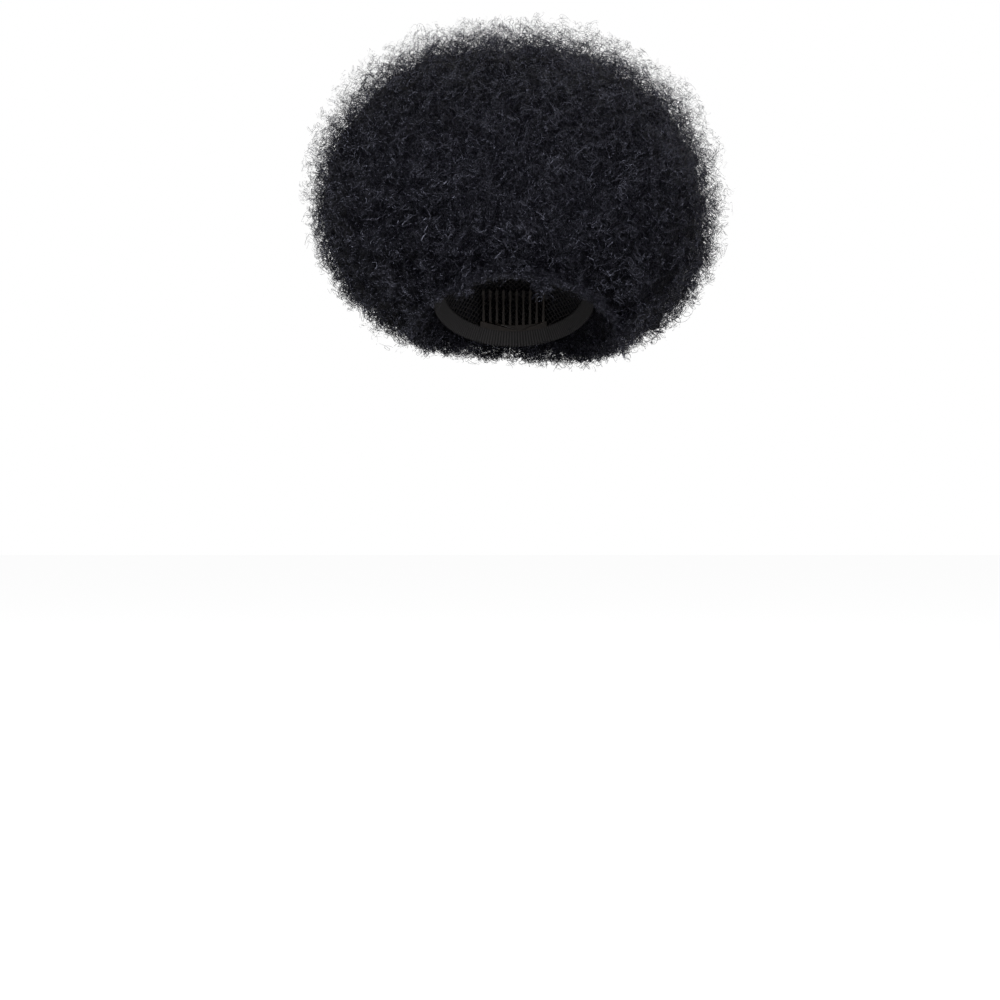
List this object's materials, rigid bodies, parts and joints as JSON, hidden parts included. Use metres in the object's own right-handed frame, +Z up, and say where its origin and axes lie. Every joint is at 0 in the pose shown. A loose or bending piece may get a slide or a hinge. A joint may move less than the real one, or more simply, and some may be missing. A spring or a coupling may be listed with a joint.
{
  "type": "afro puff chignon hairpiece",
  "caption": "Round afro puff chignon of black kinky-curly hair on a domed stretch-net base with an elastic rim and combs that grip the wearer's own hair at the crown.",
  "frame": {"origin": "the seat: the point of the crown under the middle of the net base", "axes": "+Z up as worn, the wearer faces -Y, +X at the wearer's left"},
  "size_m": [0.2781, 0.2533, 0.2225],
  "materials": {
    "hair": "kinky-curly synthetic hair, soft sheen",
    "net": "black stretch net",
    "elastic": "black ribbed elastic",
    "comb": "satin black"
  },
  "bodies": {
    "root": {"hair_puff": "hair", "base_net": "net", "elastic_rim": "elastic", "front_comb": "comb", "back_comb": "comb"}
  },
  "joints": []
}
